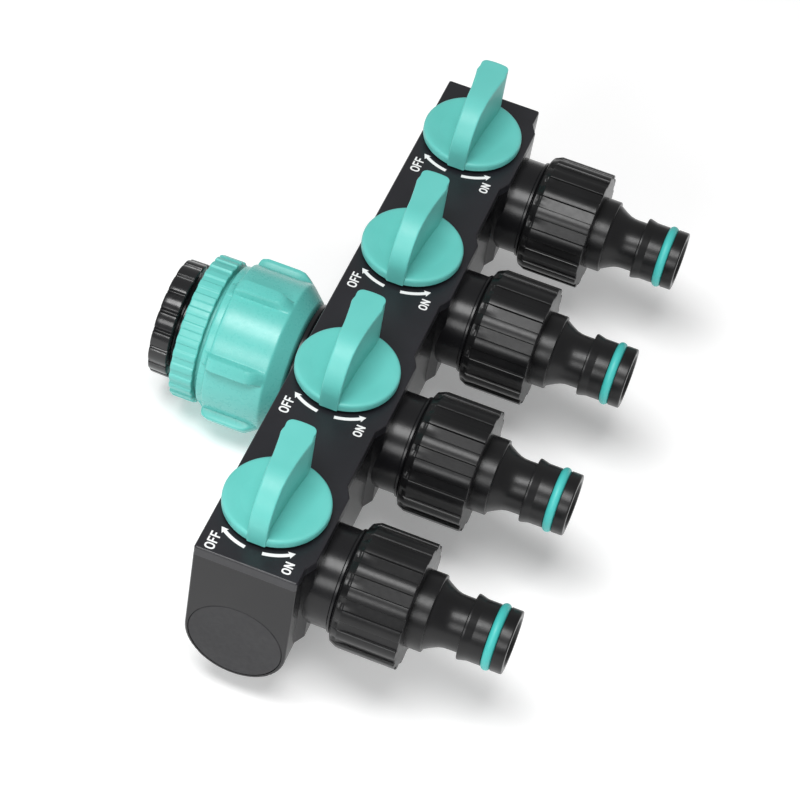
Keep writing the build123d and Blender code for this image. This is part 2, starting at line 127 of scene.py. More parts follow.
def moulded(name, dark, light, rough, grain=0.06, glow=0.0, level=0.5):
    """Moulded plastic or rubber: drifting tone, uneven gloss and a fine skin of grain.

    glow is the share of light that passes under the surface."""
    material, tree, shader = node_graph(name)
    shader.inputs["IOR"].default_value = 1.5
    shader.inputs["Specular IOR Level"].default_value = level
    if glow:
        shader.inputs["Subsurface Weight"].default_value = glow
        shader.inputs["Subsurface Radius"].default_value = GLOW_RADIUS
        shader.inputs["Subsurface Scale"].default_value = GLOW_SCALE
    broad = noise(tree, TONE_SCALE)
    fine = noise(tree, GLOSS_SCALE, 3)
    skin = noise(tree, GRAIN_SCALE)
    tree.links.new(two_tone(tree, broad, dark, light), shader.inputs["Base Color"])
    tree.links.new(remap(tree, fine, rough[0], rough[1]), shader.inputs["Roughness"])
    bump = tree.nodes.new("ShaderNodeBump")
    bump.inputs["Strength"].default_value = grain
    bump.inputs["Distance"].default_value = GRAIN_DEPTH
    tree.links.new(skin, bump.inputs["Height"])
    tree.links.new(bump.outputs["Normal"], shader.inputs["Normal"])
    return material


BLACK_SHELL = moulded(
    "black_shell_plastic", (0.006, 0.006, 0.007), (0.009, 0.009, 0.010), (0.22, 0.26), 0.01, level=0.32)
BLACK_COVER = moulded(
    "black_cover_plastic", (0.011, 0.011, 0.014), (0.015, 0.015, 0.019), (0.30, 0.40), 0.06)
BLACK_PLUG = moulded(
    "black_plug_plastic", (0.012, 0.012, 0.014), (0.016, 0.016, 0.018), (0.42, 0.52), 0.12, level=0.36)
BLACK_ADAPTER = moulded(
    "black_adapter_plastic", (0.005, 0.005, 0.0055), (0.008, 0.008, 0.0085), (0.28, 0.34), 0.03, level=0.32)
BLACK_GLOSS = moulded(
    "black_reducer_plastic", (0.008, 0.008, 0.009), (0.012, 0.012, 0.013), (0.14, 0.22), 0.04)
TEAL_DARK = (0.112, 0.495, 0.450)
TEAL_LIGHT = (0.128, 0.530, 0.485)
TEAL_KNOB = moulded("teal_knob_plastic", TEAL_DARK, TEAL_LIGHT, (0.42, 0.50), 0.04, glow=0.12)
TEAL_NUT = moulded("teal_nut_plastic", TEAL_DARK, TEAL_LIGHT, (0.25, 0.33), 0.03, glow=0.12)
TEAL_RING = moulded("teal_ring_plastic", TEAL_DARK, TEAL_LIGHT, (0.34, 0.44), 0.06, glow=0.12)
TEAL_RUBBER = moulded(
    "teal_seal_rubber", (0.045, 0.45, 0.42), (0.06, 0.50, 0.47), (0.38, 0.5), 0.08, glow=0.05)
DARK_RUBBER = moulded("dark_seal_rubber", (0.012, 0.012, 0.012), (0.02, 0.02, 0.02), (0.6, 0.75), 0.2)
WHITE_CORE = moulded("white_barrel_plastic", (0.72, 0.72, 0.69), (0.78, 0.78, 0.75), (0.3, 0.4), 0.05)
WHITE_INK = moulded("white_ink", (0.80, 0.80, 0.80), (0.88, 0.88, 0.88), (0.45, 0.6), 0.1)

# The finish of each node, or of each numbered group without its number.
FINISH = {
    "manifold_housing": BLACK_SHELL,
    "top_cover": BLACK_COVER,
    "end_plug": BLACK_PLUG,
    "inlet_tail": BLACK_GLOSS,
    "tail_seal": DARK_RUBBER,
    "swivel_washer": DARK_RUBBER,
    "large_reducer_washer": DARK_RUBBER,
    "tap_washer": DARK_RUBBER,
    "valve_core": WHITE_CORE,
    "core_seal": DARK_RUBBER,
    "port_seal": DARK_RUBBER,
    "outlet_washer": DARK_RUBBER,
    "control_knob": TEAL_KNOB,
    "outlet_adapter": BLACK_ADAPTER,
    "nipple_o_ring": TEAL_RUBBER,
    "swivel_nut": TEAL_NUT,
    "large_reducer": TEAL_RING,
    "small_reducer": BLACK_GLOSS,
}
for name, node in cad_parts.items():
    kind = name if name in FINISH else name[:-2]
    node.data.materials.clear()
    node.data.materials.append(FINISH[kind])


# ---------------------------------------------------------------- mesh helpers
MERGE_DISTANCE = 1e-7  # metres
LARGEST_FACE = 8  # corners
STRAIGHT = 0.05  # a corner that turns less, in radians, is left as it is
SHARP_TURN = 0.9  # a corner that turns more takes one more step
CORNER_SHARE = 0.48  # the most of an edge that a rounded corner may take
RUN_MARGIN = 0.02  # how far from its cylinder an outline point may lie, in mm
CREST_FLAT = 0.125  # the part of a thread's wave that is cut flat at crest and root
STEPS_A_TURN = 8


def put(name, data):
    """A new object in the scene that holds this mesh, light or camera."""
    item = bpy.data.objects.new(name, data)
    bpy.context.scene.collection.objects.link(item)
    return item


def new_object(name, points, faces, material, sharp=32):
    """A mesh object from points in millimetres, smooth but for sharp corners."""
    mesh = bpy.data.meshes.new(name)
    mesh.from_pydata((np.asarray(points) * MM).tolist(), [], faces)
    mesh.validate()
    work = bmesh.new()
    work.from_mesh(mesh)
    bmesh.ops.remove_doubles(work, verts=work.verts, dist=MERGE_DISTANCE)
    bmesh.ops.triangulate(work, faces=[f for f in work.faces if len(f.verts) > LARGEST_FACE])
    bmesh.ops.recalc_face_normals(work, faces=work.faces)
    work.to_mesh(mesh)
    work.free()
    mesh.shade_smooth()
    mesh.set_sharp_from_angle(angle=math.radians(sharp))
    mesh.materials.append(material)
    return put(name, mesh)


def rounded(outline):
    """A closed (x, r) outline whose corners with a radius become small arcs.

    Each corner is (x, r) or (x, r, radius), in the order of the loop."""
    result = []
    count = len(outline)
    for i, corner in enumerate(outline):
        here = np.array(corner[:2], float)
        size = corner[2] if len(corner) > 2 else 0.0
        before = np.array(outline[i - 1][:2], float) - here
        after = np.array(outline[(i + 1) % count][:2], float) - here
        a = before / np.linalg.norm(before)
        b = after / np.linalg.norm(after)
        turn = math.pi - math.acos(max(-1.0, min(1.0, float(a @ b))))
        if size <= 0 or turn < STRAIGHT:
            result.append(here)
            continue
        reach = size * math.tan(turn / 2)
        reach = min(reach, CORNER_SHARE * np.linalg.norm(before), CORNER_SHARE * np.linalg.norm(after))
        start = here + a * reach
        end = here + b * reach
        steps = 3 if turn < SHARP_TURN else 4
        for k in range(steps + 1):
            t = k / steps
            result.append((1 - t) ** 2 * start + 2 * t * (1 - t) * here + t * t * end)
    return np.array(result)


def split_runs(outline, spans):
    """Extra points along an outline inside (x low, x high, r low, r high, step) spans."""
    result = []
    count = len(outline)
    for i in range(count):
        here = outline[i]
        after = outline[(i + 1) % count]
        result.append(here)
        for low, high, floor, ceiling, step in spans:
            middle = (here + after) / 2
            if low <= middle[0] <= high and floor <= middle[1] <= ceiling:
                extra = int(np.linalg.norm(after - here) // step)
                for k in range(1, extra + 1):
                    result.append(here + (after - here) * k / (extra + 1))
                break
    return np.array(result)


def turned(name, outline, angles, radius_of, centre, material, sharp=32):
    """A closed solid of revolution about X whose radius may vary with angle.

    angles are measured from +Z towards -Y. radius_of(x, r, angles) gives the
    radius at one outline point for every angle."""
    rings = []
    for x, r in outline:
        radius = radius_of(x, r, angles) * np.ones(len(angles))
        ring = np.empty((len(angles), 3))
        ring[:, 0] = centre[0] + x
        ring[:, 1] = centre[1] - radius * np.sin(angles)
        ring[:, 2] = centre[2] + radius * np.cos(angles)
        rings.append(ring)
    count = len(angles)
    faces = []
    for i in range(len(rings)):
        j = (i + 1) % len(rings)
        for k in range(count):
            m = (k + 1) % count
            faces.append((i * count + k, j * count + k, j * count + m, i * count + m))
    return new_object(name, np.concatenate(rings), faces, material, sharp)


def smooth(value):
    """A soft step from 0 to 1."""
    value = np.clip(value, 0.0, 1.0)
    return value * value * (3 - 2 * value)


def even(count):
    """Evenly spaced angles, in radians."""
    return np.linspace(0, 2 * math.pi, count, endpoint=False)


def repeated(offsets, count, phase):
    """Angles in radians, from offsets in degrees about the middle of each repeat."""
    pitch = 360 / count
    full = [phase + pitch * i + o for i in range(count) for o in offsets]
    return np.radians(np.array(full))


def from_middle(angles, count, phase):
    """Signed degrees from the middle of the nearest repeat."""
    pitch = 360 / count
    return (np.degrees(angles) - phase + pitch / 2) % pitch - pitch / 2


def thread_run(span, radius, pitch):
    """A split_runs span along a thread."""
    return (*span, radius - RUN_MARGIN, radius + RUN_MARGIN, pitch / STEPS_A_TURN)


def on_run(x, r, span, radius):
    """Whether an outline point lies on the cylinder that carries a thread."""
    return span[0] <= x <= span[1] and abs(r - radius) < RUN_MARGIN


def ridge(x, angles, pitch, depth, span, fade, shift=0.0):
    """A right-hand thread's height at x: a flattened triangular wave, faded in at the ends."""
    turns = ((x + shift) / pitch - angles / (2 * math.pi)) % 1.0
    wave = 1 - np.abs(2 * turns - 1)
    ends = smooth((x - span[0]) / fade) * smooth((span[1] - x) / fade)
    return depth * np.clip((1 + 2 * CREST_FLAT) * wave - CREST_FLAT, 0, 1) * ends


# ------------------------------------------------------------ outlet adapters
NUT_RADIUS = 16.3
NUT_START = 21.6
NUT_END = 39.1
NUT_BORE = 13.25
NUT_THREAD = (22.0, 34.6)
NUT_OUTSIDE = 13.9  # outline points beyond this radius are on the outside
NUT_RUN_IN = 1.6  # length over which the ribs grow from the mouth
PANELS = 16
PANEL_START = 23.9
PANEL_DEPTH = 0.9
PANEL_HALF = 5.3  # degrees, like the next two
PANEL_PITCH_HALF = 180 / PANELS
PANEL_PHASE = {1: 12.2, 2: 3.8, 3: 20.4, 4: 12.9}
PANEL_STEP = 25.2  # x of the low step that crosses each panel
PANEL_RIDGE = 0.3  # share of the panel's depth that the step gives back
PANEL_RIDGE_WIDTH = 0.16
PANEL_SCOOP = 0.45  # shares of the panel's depth before and after the step
PANEL_REST = 0.55
RIB_HALF_WIDTH = 5.6  # degrees
RIB_CROWN = 0.18
RIB_EDGE = 0.14
NOSE_RADIUS = 8.15
BORE_RADIUS = 4.9
ORING_X = centre_of("nipple_o_ring_1")[0] - BODY_X
ORING_CORD = 1.25
ORING_OUTER = 8.62
GROOVE_HALF = ORING_CORD + 0.05
GROOVE_RADIUS = ORING_OUTER - 2 * ORING_CORD - 0.01
NOSE_END = 63.69
COLLAR_RADIUS = 10.0
COLLAR_END = 43.5

adapter_outline = [
    (NUT_START, NUT_BORE + 0.35),
    (NUT_START, 14.5, 0.1),
    (22.0, 15.4, 0.35),
    (PANEL_START, NUT_RADIUS, 0.6),
    (NUT_END, NUT_RADIUS, 0.3),
    (NUT_END, COLLAR_RADIUS),
    (COLLAR_END, COLLAR_RADIUS, 0.35),
    (COLLAR_END, 9.15),
    (43.9, 9.0),
    (44.8, 8.45),
    (45.9, 7.85),
    (47.1, 7.3),
    (48.3, 7.02),
    (49.5, 6.95),
    (52.0, 6.95, 0.2),
    (52.12, 8.45, 0.15),
    (52.6, 8.45, 0.25),
    (54.6, 7.95, 0.6),
    (ORING_X - GROOVE_HALF, 7.95, 0.1),
    (ORING_X - GROOVE_HALF, GROOVE_RADIUS),
    (ORING_X + GROOVE_HALF, GROOVE_RADIUS),
    (ORING_X + GROOVE_HALF, NOSE_RADIUS, 0.15),
    (NOSE_END, NOSE_RADIUS, 0.4),
    (NOSE_END, 6.5, 0.3),
    (61.9, BORE_RADIUS, 0.4),
    (36.0, BORE_RADIUS),
    (36.0, NUT_BORE),
    (NUT_THREAD[1], NUT_BORE),
    (NUT_THREAD[0], NUT_BORE),
]
adapter_spans = [
    (21.7, 23.85, 13.9, 17, 0.16),
    (23.85, 25.7, 16.2, 17, 0.12),
    (25.7, 38.9, 16.2, 17, 2.0),
    thread_run(NUT_THREAD, NUT_BORE, G34_PITCH),
]
PANEL_STEPS = [-9.4, -7.6, -6.6, -6.1, -5.8, -5.6, -5.45, -5.3, -2.6]
PANEL_STEPS = [-PANEL_PITCH_HALF] + PANEL_STEPS + [0.0] + [-v for v in reversed(PANEL_STEPS)]


def adapter_radius(phase):
    """The outlet nut's ribs and stepped panels, and its inside thread."""

    def radius_of(x, r, angles):
        away = np.abs(from_middle(angles, PANELS, phase))
        if NUT_START <= x <= NUT_END + 0.01 and r > NUT_OUTSIDE:
            run_in = smooth((x - NUT_START) / NUT_RUN_IN)
            crest = NUT_RADIUS - RIB_CROWN * ((PANEL_PITCH_HALF - away) / RIB_HALF_WIDTH) ** 2
            crest = crest - RIB_EDGE * (1 - smooth((away - PANEL_HALF - 0.25) / 0.55))
            floor = (NUT_RADIUS - PANEL_DEPTH) / np.cos(np.radians(away))
            wall = smooth((away - PANEL_HALF) / 0.3)
            scoop = PANEL_SCOOP * smooth((x - PANEL_START + 0.7) / 0.5)
            step = PANEL_RIDGE * math.exp(-((x - PANEL_STEP) / PANEL_RIDGE_WIDTH) ** 2)
            opened = scoop - step + PANEL_REST * smooth((x - PANEL_STEP - 0.1) / 0.25)
            cut = crest + (floor + (crest - floor) * wall - crest) * opened
            return r + (cut - NUT_RADIUS) * run_in
        if on_run(x, r, NUT_THREAD, NUT_BORE):
            return r - ridge(x, angles, G34_PITCH, G34_DEPTH, NUT_THREAD, 0.9)
        return r

    return radius_of


def outlet_adapter(number):
    """The ribbed nut with its hose nipple, and the O-ring on the nose."""
    centre = (BODY_X, VALVE_Y[number], OUTLET_Z)
    outline = split_runs(rounded(adapter_outline), adapter_spans)
    phase = PANEL_PHASE[number]
    angles = repeated(PANEL_STEPS, PANELS, phase)
    radius_of = adapter_radius(phase)
    piece = turned(f"ribbed_adapter_{number}", outline, angles, radius_of, centre, BLACK_ADAPTER)
    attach(piece, f"outlet_adapter_{number}")
    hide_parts(f"outlet_adapter_{number}")
    turn = even(24)
    cord_x = ORING_X + ORING_CORD * np.cos(turn)
    cord = np.stack([cord_x, ORING_OUTER - ORING_CORD + ORING_CORD * np.sin(turn)], 1)
    ring = turned(f"nose_ring_{number}", cord, even(112), plain_radius, centre, TEAL_RUBBER, 60)
    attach(ring, f"outlet_adapter_{number}")
    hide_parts(f"nipple_o_ring_{number}")


def plain_radius(x, r, angles):
    """No change with angle."""
    return r


SPIGOT_THREAD = (21.35, 33.5)
SPIGOT_INSIDE = 11.8  # the sleeve's hidden inner radius, inside the housing's spigot


def spigot_radius(x, r, angles):
    """The thread on an outlet spigot."""
    if not on_run(x, r, SPIGOT_THREAD, G34_ROOT):
        return r
    return r + ridge(x, angles, G34_PITCH, G34_DEPTH, (21.4, SPIGOT_THREAD[1]), 1.0, G34_PITCH / 2)


def spigot_thread(number):
    """The outside thread on one outlet spigot, behind the adapter's nut."""
    low, high = SPIGOT_THREAD
    outline = np.array([(low, SPIGOT_INSIDE), (low, G34_ROOT), (high, G34_ROOT), (33.9, SPIGOT_INSIDE)])
    outline = split_runs(outline, [thread_run(SPIGOT_THREAD, G34_ROOT, G34_PITCH)])
    centre = (BODY_X, VALVE_Y[number], OUTLET_Z)
    piece = turned(f"spigot_thread_{number}", outline, even(180), spigot_radius, centre, BLACK_SHELL)
    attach(piece, "housing")


for number in NUMBERS:
    outlet_adapter(number)
    spigot_thread(number)


# ------------------------------------------------------------------ swivel nut
SWIVEL_RADIUS = 20.5
SWIVEL_RIB_HEIGHT = 2.5
SWIVEL_RIBS = 6
SWIVEL_PHASE = 3.5
SWIVEL_BORE = 16.66
SWIVEL_THREAD = (15.4, 28.6)
SWIVEL_START = 15.0
SWIVEL_END = 37.4
SWIVEL_NECK = 13.3
SWIVEL_SEAT = 32.7
SWIVEL_OUTSIDE = 17.3
SWIVEL_LIP_END = 17.12
RIB_HALF = 6.3  # degrees
RIB_FULL_X = 18.9  # where a rib's rounded start reaches full height
RIB_RISE = 1.7
SLOPE_START = 29.6
SLOPE_LENGTH = 4.6
SLOPE_DROP = 3.4
SLOPE_BOW = 0.9
SLOPE_POWER = 1.25
RIB_FOOT = 0.12  # how softly a rib's top runs out into the nut
RIB_WALL = (0.70, 0.32)  # where a rib's side starts and how wide it is, in shares of RIB_HALF

swivel_outline = [
    (SWIVEL_START, 17.1),
    (SWIVEL_START, 19.2, 0.7),
    (17.15, 19.2),
    (17.25, SWIVEL_RADIUS, 1.0),
    (33.2, SWIVEL_RADIUS, 1.2),
    (37.0, 17.1, 0.5),
    (SWIVEL_END, 16.4),
    (SWIVEL_END, SWIVEL_NECK),
    (SWIVEL_SEAT, SWIVEL_NECK),
    (SWIVEL_SEAT, SWIVEL_BORE),
    (SWIVEL_THREAD[1], SWIVEL_BORE),
    (SWIVEL_THREAD[0], SWIVEL_BORE),
]
swivel_spans = [
    (17.1, 19.2, 19.6, 21, 0.22),
    (19.2, 29.0, 20.4, 21, 1.6),
    (29.0, 37.0, 17.0, 21, 0.35),
    thread_run(SWIVEL_THREAD, SWIVEL_BORE, G1_PITCH),
]
RIB_STEPS = [-15, -11, -8.2, -7.4, -6.8, -6.3, -5.8, -5.3, -4.8, -4.3, -3.6, -2.4, -1.2]
RIB_STEPS = [-30, -25, -20] + RIB_STEPS + [0.0] + [-v for v in reversed(RIB_STEPS)] + [20, 25]


def swivel_radius(x, r, angles):
    """Six raised grip ribs, sloped down to the nut's chamfer, and the inside thread."""
    if x > SWIVEL_LIP_END and r > SWIVEL_OUTSIDE:
        rise = math.sqrt(max(0.0, 1 - ((RIB_FULL_X - x) / RIB_RISE) ** 2)) if x < RIB_FULL_X else 1.0
        away = np.abs(from_middle(angles, SWIVEL_RIBS, SWIVEL_PHASE))
        along = np.clip((x - SLOPE_START + SLOPE_BOW * (away / RIB_HALF) ** 2) / SLOPE_LENGTH, 0, None)
        top = SWIVEL_RADIUS + SWIVEL_RIB_HEIGHT * rise - SLOPE_DROP * along ** SLOPE_POWER
        lift = np.clip(top - r, 0, None)
        lift = lift * lift / (lift + RIB_FOOT)
        wall = 1 - smooth((away / RIB_HALF - RIB_WALL[0]) / RIB_WALL[1])
        return r + lift * wall
    if on_run(x, r, SWIVEL_THREAD, SWIVEL_BORE):
        return r - ridge(x, angles, G1_PITCH, G1_DEPTH, SWIVEL_THREAD, 1.0)
    return r


outline = split_runs(rounded(swivel_outline), swivel_spans)
angles = repeated(RIB_STEPS, SWIVEL_RIBS, SWIVEL_PHASE)
nut = turned("ribbed_swivel_nut", outline, angles, swivel_radius, (0, 0, 0), TEAL_NUT, 40)
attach(nut, "swivel_nut")
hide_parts("swivel_nut")


# -------------------------------------------------------------------- reducers
TEETH = 30
TOOTH_PHASE = 8.3
TOOTH_DEPTH = 0.48
TOOTH_HALF = 2.2  # degrees, like the next two
TOOTH_FLANK = 1.5
CROWN_HALF = 2.3
TOOTH_CROWN = 0.1
RING_RADIUS = 19.8
RING_OUTSIDE = 18.5
RING_START = 7.7
RING_END = 14.0
LARGE_THREAD = (14.9, 27.5)
LARGE_INNER_THREAD = (8.1, 16.9)

large_outline = [
    (RING_START, NUT_BORE + 0.4),
    (RING_START, RING_RADIUS, 0.45),
    (RING_END, RING_RADIUS, 0.45),
    (RING_END, 17.0),
    (14.7, 17.0, 0.2),
    (14.7, G1_ROOT),
    (LARGE_THREAD[0], G1_ROOT),
    (LARGE_THREAD[1], G1_ROOT),
    (28.0, 14.8),
    (28.0, 9.0),
    (17.5, 9.0),
    (17.5, NUT_BORE),
    (LARGE_INNER_THREAD[1], NUT_BORE),
    (LARGE_INNER_THREAD[0], NUT_BORE),
]
large_spans = [
    thread_run(LARGE_THREAD, G1_ROOT, G1_PITCH),
    thread_run(LARGE_INNER_THREAD, NUT_BORE, G34_PITCH),
    (8.0, 13.7, 19.7, 20, 1.5),
]


def large_radius(x, r, angles):
    """Low teeth on the grip ring, G1 thread outside, G3/4 thread inside."""
    if r > RING_OUTSIDE:
        away = np.abs(from_middle(angles, TEETH, TOOTH_PHASE))
        flank = TOOTH_DEPTH * smooth((away - TOOTH_HALF) / TOOTH_FLANK)
        return r - flank - TOOTH_CROWN * (away / 3) ** 2 * (away < CROWN_HALF)
    if on_run(x, r, LARGE_THREAD, G1_ROOT):
        return r + ridge(x, angles, G1_PITCH, G1_DEPTH, LARGE_THREAD, 1.0, G1_PITCH / 2)
    if on_run(x, r, LARGE_INNER_THREAD, NUT_BORE):
        return r - ridge(x, angles, G34_PITCH, G34_DEPTH, LARGE_INNER_THREAD, 0.9)
    return r


outline = split_runs(rounded(large_outline), large_spans)
steps = [-6.0, -5.0, -4.2, -3.7, -3.3, -3.0, -2.7, -2.3, -1.4]
steps = steps + [0.0] + [-v for v in reversed(steps[1:])]
angles = repeated(steps, TEETH, TOOTH_PHASE)
ring = turned("knurled_reducer", outline, angles, large_radius, (0, 0, 0), TEAL_RING)
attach(ring, "large_reducer")
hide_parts("large_reducer")

SCALLOPS = 18
SCALLOP_PHASE = 9.3
SCALLOP_HALF = 180 / SCALLOPS  # degrees
SCALLOP_CROWN = 0.35
SCALLOP_GROOVE = (1.6, 1.3)  # the groove's distance from the joint and its half width, in degrees
SCALLOP_GROOVE_DEPTH = 0.45
SMALL_RADIUS = 15.95
SMALL_OUTSIDE = 14.9
SMALL_THREAD = (5.5, 15.0)
INLET_CREST = 9.3155
INLET_THREAD = (0.6, 9.6)

small_outline = [
    (0.0, INLET_CREST + 0.9, 0.2),
    (0.0, SMALL_RADIUS - 0.1, 0.5),
    (5.3, SMALL_RADIUS, 0.5),
    (5.3, G34_ROOT),
    (SMALL_THREAD[0], G34_ROOT),
    (SMALL_THREAD[1], G34_ROOT),
    (15.5, 11.6),
    (15.5, 7.0),
    (12.0, 7.0),
    (12.0, 10.0),
    (10.0, 10.0),
    (10.0, INLET_CREST),
    (INLET_THREAD[1], INLET_CREST),
    (INLET_THREAD[0], INLET_CREST),
]
small_spans = [
    thread_run(SMALL_THREAD, G34_ROOT, G34_PITCH),
    thread_run(INLET_THREAD, INLET_CREST, G34_PITCH),
    (0.4, 5.0, 15.7, 16, 1.2),
]


def small_radius(x, r, angles):
    """Scalloped grip ring, G3/4 thread outside, G1/2 thread inside."""
    if r > SMALL_OUTSIDE:
        away = np.abs(from_middle(angles, SCALLOPS, SCALLOP_PHASE))
        groove = 1 - smooth(np.abs(SCALLOP_HALF - away - SCALLOP_GROOVE[0]) / SCALLOP_GROOVE[1])
        return r - SCALLOP_CROWN * (away / SCALLOP_HALF) ** 2 - SCALLOP_GROOVE_DEPTH * groove
    if on_run(x, r, SMALL_THREAD, G34_ROOT):
        return r + ridge(x, angles, G34_PITCH, G34_DEPTH, SMALL_THREAD, 0.9, G34_PITCH / 2)
    if on_run(x, r, INLET_THREAD, INLET_CREST):
        return r + ridge(x, angles, G34_PITCH, G12_DEPTH, INLET_THREAD, 0.7)
    return r


outline = split_runs(rounded(small_outline), small_spans)
steps = [-10, -9.6, -9.2, -8.8, -8.4, -8.0, -7.6, -7.2, -6.0, -4.0, -2.0]
steps = steps + [0.0] + [-v for v in reversed(steps[1:])]
angles = repeated(steps, SCALLOPS, SCALLOP_PHASE)
mouth = turned("scalloped_reducer", outline, angles, small_radius, (0, 0, 0), BLACK_GLOSS)
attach(mouth, "small_reducer")
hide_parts("small_reducer")


# ----------------------------------------------------------------------- knobs
DISC_TOP = KNOB_LOW + 2.7
SOCKET_RADIUS = 4.6
SOCKET_TOP = DISC_TOP - 1.8
CENTRE_HOLE = 0.6  # covered by the bar
BAR_FOOT = KNOB_LOW + 0.3
HEEL_Y = -13.45
TIP_Y = 13.6
NOTCH_Y = 9.7  # where the lip round the flanks ends
BEND = 12.0
TIP_EDGE = 0.35
TIP_CORNER = 1.3
BAR_EDGE = 0.4
WIDTH_AT = [-13.9, -7.0, -2.0, 1.6, 4.2, 7.0, 9.6, 13.0]
HALF_WIDTHS = [2.5, 2.65, 2.95, 3.15, 3.45, 3.8, 4.25, 4.3]
LIP = 1.3
LIP_EDGE = 0.1
LIP_FOOT = 0.12
RECESS = 0.5
HEEL_STEPS = 26
TIP_STEPS = 5
LOOP_STEP = 0.9  # about the gap between points of the side outline
TIP_INSET = 0.25  # share of the inset that is left at the tip
FOOT_BAND = 3.0  # height over which the inset outline is lifted off the disc
CREST_SHARES = (0.2, 0.45, 0.62, 0.72, 0.8)
TIP_RUN_IN = 0.6


def quarter(y, z, size, steps, heel):
    """A rounded corner of the bar's side outline, at its heel or at its tip."""
    arc = []
    for k in range(steps + 1):
        turn = math.pi / 2 * k / steps
        if heel:
            arc.append((y + size - size * math.cos(turn), z - size + size * math.sin(turn)))
        else:
            arc.append((y - size + size * math.sin(turn), z - size + size * math.cos(turn)))
    return arc


def side_loop():
    """The bar's closed side outline as (y, z) points, and its inward normals."""
    points = [(HEEL_Y, BAR_FOOT)]
    points += quarter(HEEL_Y, KNOB_TOP, BEND, HEEL_STEPS, True)
    points += quarter(TIP_Y, KNOB_TOP, TIP_EDGE, TIP_STEPS, False)
    points.append((TIP_Y, BAR_FOOT))
    loop = []
    for i, here in enumerate(points):
        after = points[(i + 1) % len(points)]
        gap = math.dist(here, after)
        extra = max(1, int(gap / LOOP_STEP))
        for k in range(extra):
            t = k / extra
            loop.append((here[0] + (after[0] - here[0]) * t, here[1] + (after[1] - here[1]) * t))
    loop = np.array(loop)
    ahead = np.roll(loop, -1, 0) - np.roll(loop, 1, 0)
    ahead /= np.linalg.norm(ahead, axis=1)[:, None]
    return loop, np.stack([ahead[:, 1], -ahead[:, 0]], 1)


def tip_reach(across, half):
    """How far the bar's tip reaches at a distance across it: round in plan."""
    corner = np.clip((np.abs(across) - (half - TIP_CORNER)) / TIP_CORNER, 0, 1)
    return np.sqrt(TIP_Y ** 2 - across ** 2) - TIP_CORNER * (1 - np.sqrt(1 - corner ** 2))


def inset(loop, inward, depth):
    """The side outline moved inward, less so at the tip, with no fold at its foot."""
    reach = 1 - (1 - TIP_INSET) * smooth((loop[:, 0] - NOTCH_Y) / 1.5)
    moved = loop + inward * (reach * depth)[:, None]
    above = loop[:, 1] - loop[:, 1].min()
    foot = above < 0.01
    heel = HEEL_Y + depth
    tip = TIP_Y - TIP_INSET * depth
    moved[foot, 0] = heel + (loop[foot, 0] - HEEL_Y) / (TIP_Y - HEEL_Y) * (tip - heel)
    moved[foot, 1] = loop[foot, 1]
    moved[:, 1] += depth * np.clip(1 - above / FOOT_BAND, 0, 1)
    return moved


def upright_strips(loop):
    """Triangles that fill the bar's side in upright strips from heel to tip."""
    count = len(loop)
    turn = int(np.argmax(loop[:, 0] - loop[:, 1]))
    upper = list(range(turn + 1))
    lower = [0] + list(range(count - 1, turn - 1, -1))
    i, j = 0, 1
    strips = []
    while i < len(upper) - 1 or j < len(lower) - 1:
        last_low = j == len(lower) - 1
        if last_low or (
            i < len(upper) - 1 and loop[upper[i + 1], 0] <= loop[lower[j + 1], 0] + 0.001
        ):
            strips.append((upper[i], upper[i + 1], lower[j]))
            i += 1
        else:
            strips.append((upper[i], lower[j + 1], lower[j]))
            j += 1
    return [strip for strip in strips if len(set(strip)) == 3]


def finger_bar():
    """The upright bar: level crest, rounded heel, a lip round its flanks."""
    loop, inward = side_loop()
    half = np.interp(loop[:, 0], WIDTH_AT, HALF_WIDTHS)
    lipped = smooth((NOTCH_Y - loop[:, 0]) / 0.25)
    half = half - (1 - lipped) * RECESS
    levels = [(share, 0.0, 0.0) for share in CREST_SHARES]
    for t in np.radians([0, 30, 60, 90]):
        levels.append((1.0, BAR_EDGE * (math.sin(t) - 1), BAR_EDGE * (1 - math.cos(t))))
    levels.append((1.0, 0.0, LIP - LIP_EDGE))
    rings = [(half * share + shift, inset(loop, inward, depth)) for share, shift, depth in levels]
    rings.append((half - LIP_EDGE * lipped, inset(loop, inward, LIP)))
    place = inset(loop, inward, LIP + LIP_FOOT)
    rings.append((np.interp(place[:, 0], WIDTH_AT, HALF_WIDTHS) - RECESS, place))
    count = len(loop)
    points = []
    tip_half = HALF_WIDTHS[-1] - RECESS
    tip_start = NOTCH_Y + TIP_RUN_IN
    for x, yz in [(-x, yz) for x, yz in reversed(rings)] + rings:
        end = tip_reach(np.clip(x, -tip_half, tip_half), tip_half)
        near = np.clip((yz[:, 0] - tip_start) / (TIP_Y - tip_start), 0, None)
        points.append(np.column_stack([x, yz[:, 0] + (end - TIP_Y) * near, yz[:, 1]]))
    faces = []
    for i in range(len(points) - 1):
        for k in range(count):
            m = (k + 1) % count
            faces.append((i * count + k, i * count + m, (i + 1) * count + m, (i + 1) * count + k))
    last = (len(points) - 1) * count
    for a, b, c in upright_strips(place):
        faces.append((a, b, c))
        faces.append((last + c, last + b, last + a))
    return new_object("finger_bar", np.concatenate(points), faces, TEAL_KNOB, 30)


